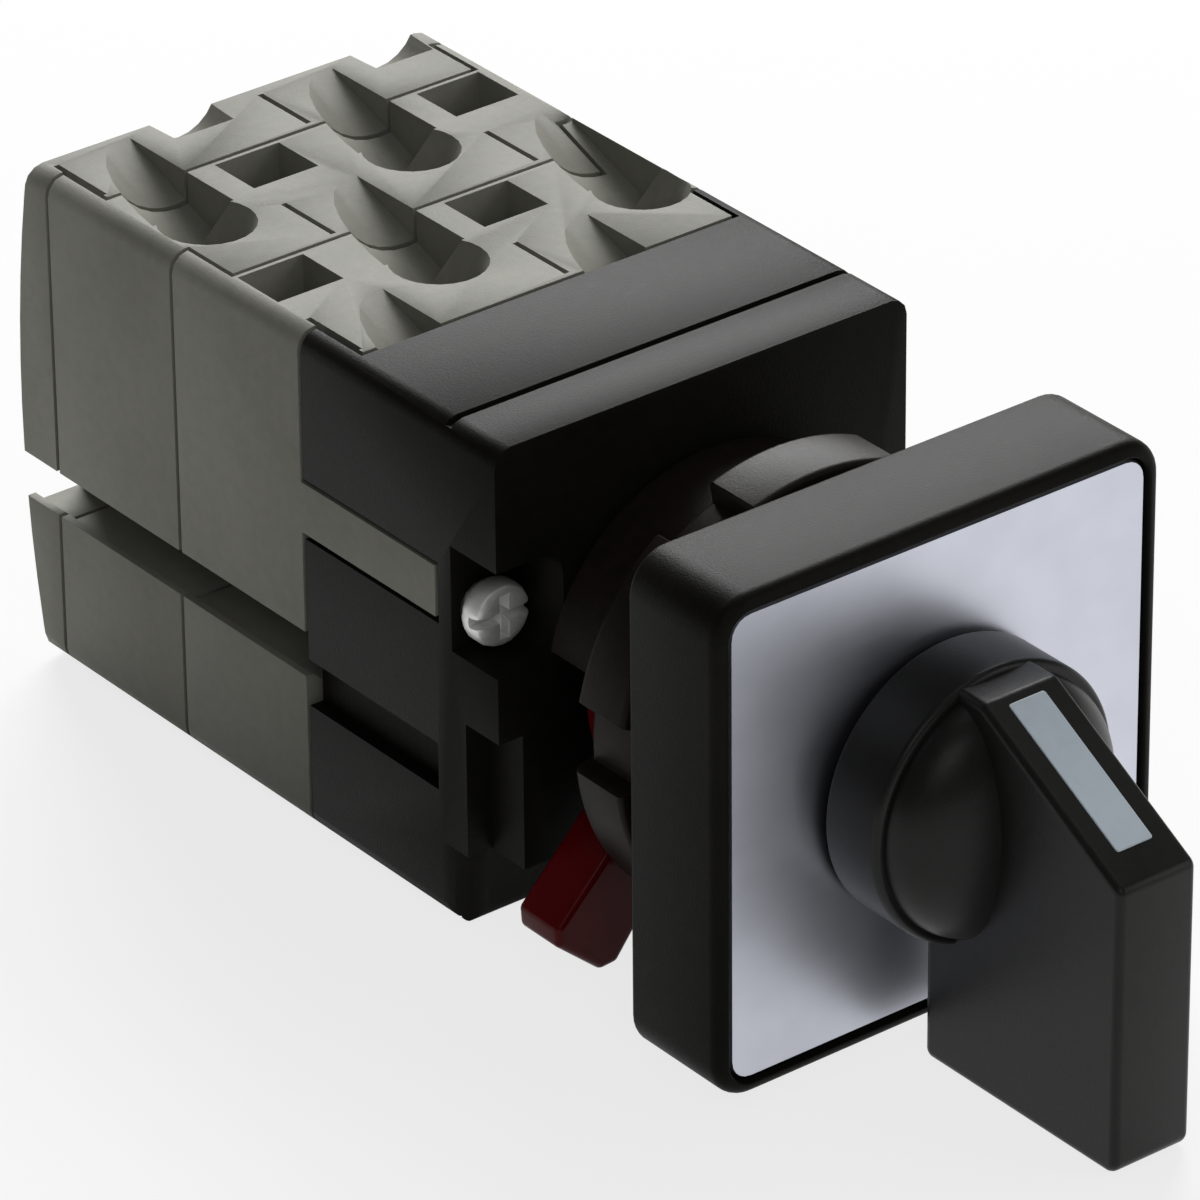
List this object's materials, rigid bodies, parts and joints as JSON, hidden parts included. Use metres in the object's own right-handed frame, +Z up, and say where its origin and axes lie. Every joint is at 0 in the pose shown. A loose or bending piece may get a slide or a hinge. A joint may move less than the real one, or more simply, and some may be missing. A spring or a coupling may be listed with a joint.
{
  "type": "panel-mount rotary cam switch",
  "caption": "Panel-mount rotary cam switch with grey contact stages, black latch block, square front plate, pointer handle and red locking lever.",
  "frame": {"origin": "on the shaft axis, in the plane of the panel's front face, which is the rear face of the gasket", "axes": "+Y along the shaft from the handle to the rear cover, +Z up past the pointer at rest, +X to the operator's right"},
  "size_m": [0.03, 0.0808, 0.031],
  "materials": {
    "grey_plastic": "fine matte moulded grey",
    "black_plastic": "satin moulded black",
    "inner_plastic": "natural glass-filled plastic",
    "red_plastic": "glossy deep red",
    "steel": "zinc-plated steel",
    "spring_steel": "drawn spring wire",
    "brass": "stamped brass",
    "copper": "silvered copper strip",
    "rubber": "black-brown rubber",
    "legend_foil": "satin silver foil, blank",
    "pointer_plastic": "pale blue-grey plastic"
  },
  "bodies": {
    "housing": {"rear_cover": "grey_plastic", "stage_housing_front": "grey_plastic", "stage_housing_rear": "grey_plastic", "latch_housing": "black_plastic", "mounting_collar": "black_plastic", "ring_nut": "black_plastic", "bezel": "black_plastic", "tie_screw_left": "steel", "tie_screw_right": "steel", "terminal_screw_front_top_left": "steel", "terminal_screw_front_top_right": "steel", "terminal_screw_front_bottom_left": "steel", "terminal_screw_front_bottom_right": "steel", "terminal_screw_rear_top_left": "steel", "terminal_screw_rear_top_right": "steel", "terminal_screw_rear_bottom_left": "steel", "terminal_screw_rear_bottom_right": "steel", "detent_spring_top": "spring_steel", "detent_spring_bottom": "spring_steel", "contact_spring_front_top": "spring_steel", "contact_spring_front_bottom": "spring_steel", "contact_spring_rear_top": "spring_steel", "contact_spring_rear_bottom": "spring_steel", "terminal_front_top_left": "brass", "terminal_front_top_right": "brass", "terminal_front_bottom_left": "brass", "terminal_front_bottom_right": "brass", "terminal_rear_top_left": "brass", "terminal_rear_top_right": "brass", "terminal_rear_bottom_left": "brass", "terminal_rear_bottom_right": "brass", "gasket": "rubber", "legend_plate": "legend_foil"},
    "rotor": {"handle": "black_plastic", "pointer_insert": "pointer_plastic", "shaft": "steel", "cam_front": "inner_plastic", "cam_rear": "inner_plastic", "detent_star_wheel": "inner_plastic"},
    "locking_lever": {"locking_lever": "red_plastic"},
    "detent_slider_top": {"detent_slider_top": "inner_plastic"},
    "detent_slider_bottom": {"detent_slider_bottom": "inner_plastic"},
    "carrier_front_top": {"contact_carrier_front_top": "inner_plastic", "contact_bridge_front_top": "copper"},
    "carrier_front_bottom": {"contact_carrier_front_bottom": "inner_plastic", "contact_bridge_front_bottom": "copper"},
    "carrier_rear_top": {"contact_carrier_rear_top": "inner_plastic", "contact_bridge_rear_top": "copper"},
    "carrier_rear_bottom": {"contact_carrier_rear_bottom": "inner_plastic", "contact_bridge_rear_bottom": "copper"}
  },
  "joints": [
    {"name": "handle_turn", "type": "hinge", "parent": "housing", "child": "rotor", "pos_m": [0, 0, 0], "axis": [0, 1, 0], "range_deg": [0, 60]},
    {"name": "lever_turn", "type": "hinge", "parent": "housing", "child": "locking_lever", "pos_m": [0, 0, 0], "axis": [0, 1, 0], "range_deg": [0, 45]},
    {"name": "contact_slide_front_top", "type": "slide", "parent": "housing", "child": "carrier_front_top", "axis": [0, 0, 1], "range_m": [-0.00101, 0], "deforming": ["contact_spring_front_top"]},
    {"name": "contact_slide_front_bottom", "type": "slide", "parent": "housing", "child": "carrier_front_bottom", "axis": [0, 0, -1], "range_m": [-0.00101, 0], "deforming": ["contact_spring_front_bottom"]},
    {"name": "contact_slide_rear_top", "type": "slide", "parent": "housing", "child": "carrier_rear_top", "axis": [0, 0, 1], "range_m": [-0.00101, 0], "deforming": ["contact_spring_rear_top"]},
    {"name": "contact_slide_rear_bottom", "type": "slide", "parent": "housing", "child": "carrier_rear_bottom", "axis": [0, 0, -1], "range_m": [-0.00101, 0], "deforming": ["contact_spring_rear_bottom"]},
    {"name": "detent_slide_top", "type": "slide", "parent": "housing", "child": "detent_slider_top", "axis": [0, 0, 1], "range_m": [0, 0.0006], "stiffness_N_per_m": 200, "deforming": ["detent_spring_top"]},
    {"name": "detent_slide_bottom", "type": "slide", "parent": "housing", "child": "detent_slider_bottom", "axis": [0, 0, -1], "range_m": [0, 0.0006], "stiffness_N_per_m": 200, "deforming": ["detent_spring_bottom"]}
  ],
  "couplings": [
    {"joint": "contact_slide_front_top", "follows": "handle_turn", "m_per_rad": -0.0009549},
    {"joint": "contact_slide_front_bottom", "follows": "handle_turn", "m_per_rad": -0.0009549},
    {"joint": "contact_slide_rear_top", "follows": "handle_turn", "m_per_rad": -0.0009549},
    {"joint": "contact_slide_rear_bottom", "follows": "handle_turn", "m_per_rad": -0.0009549}
  ]
}
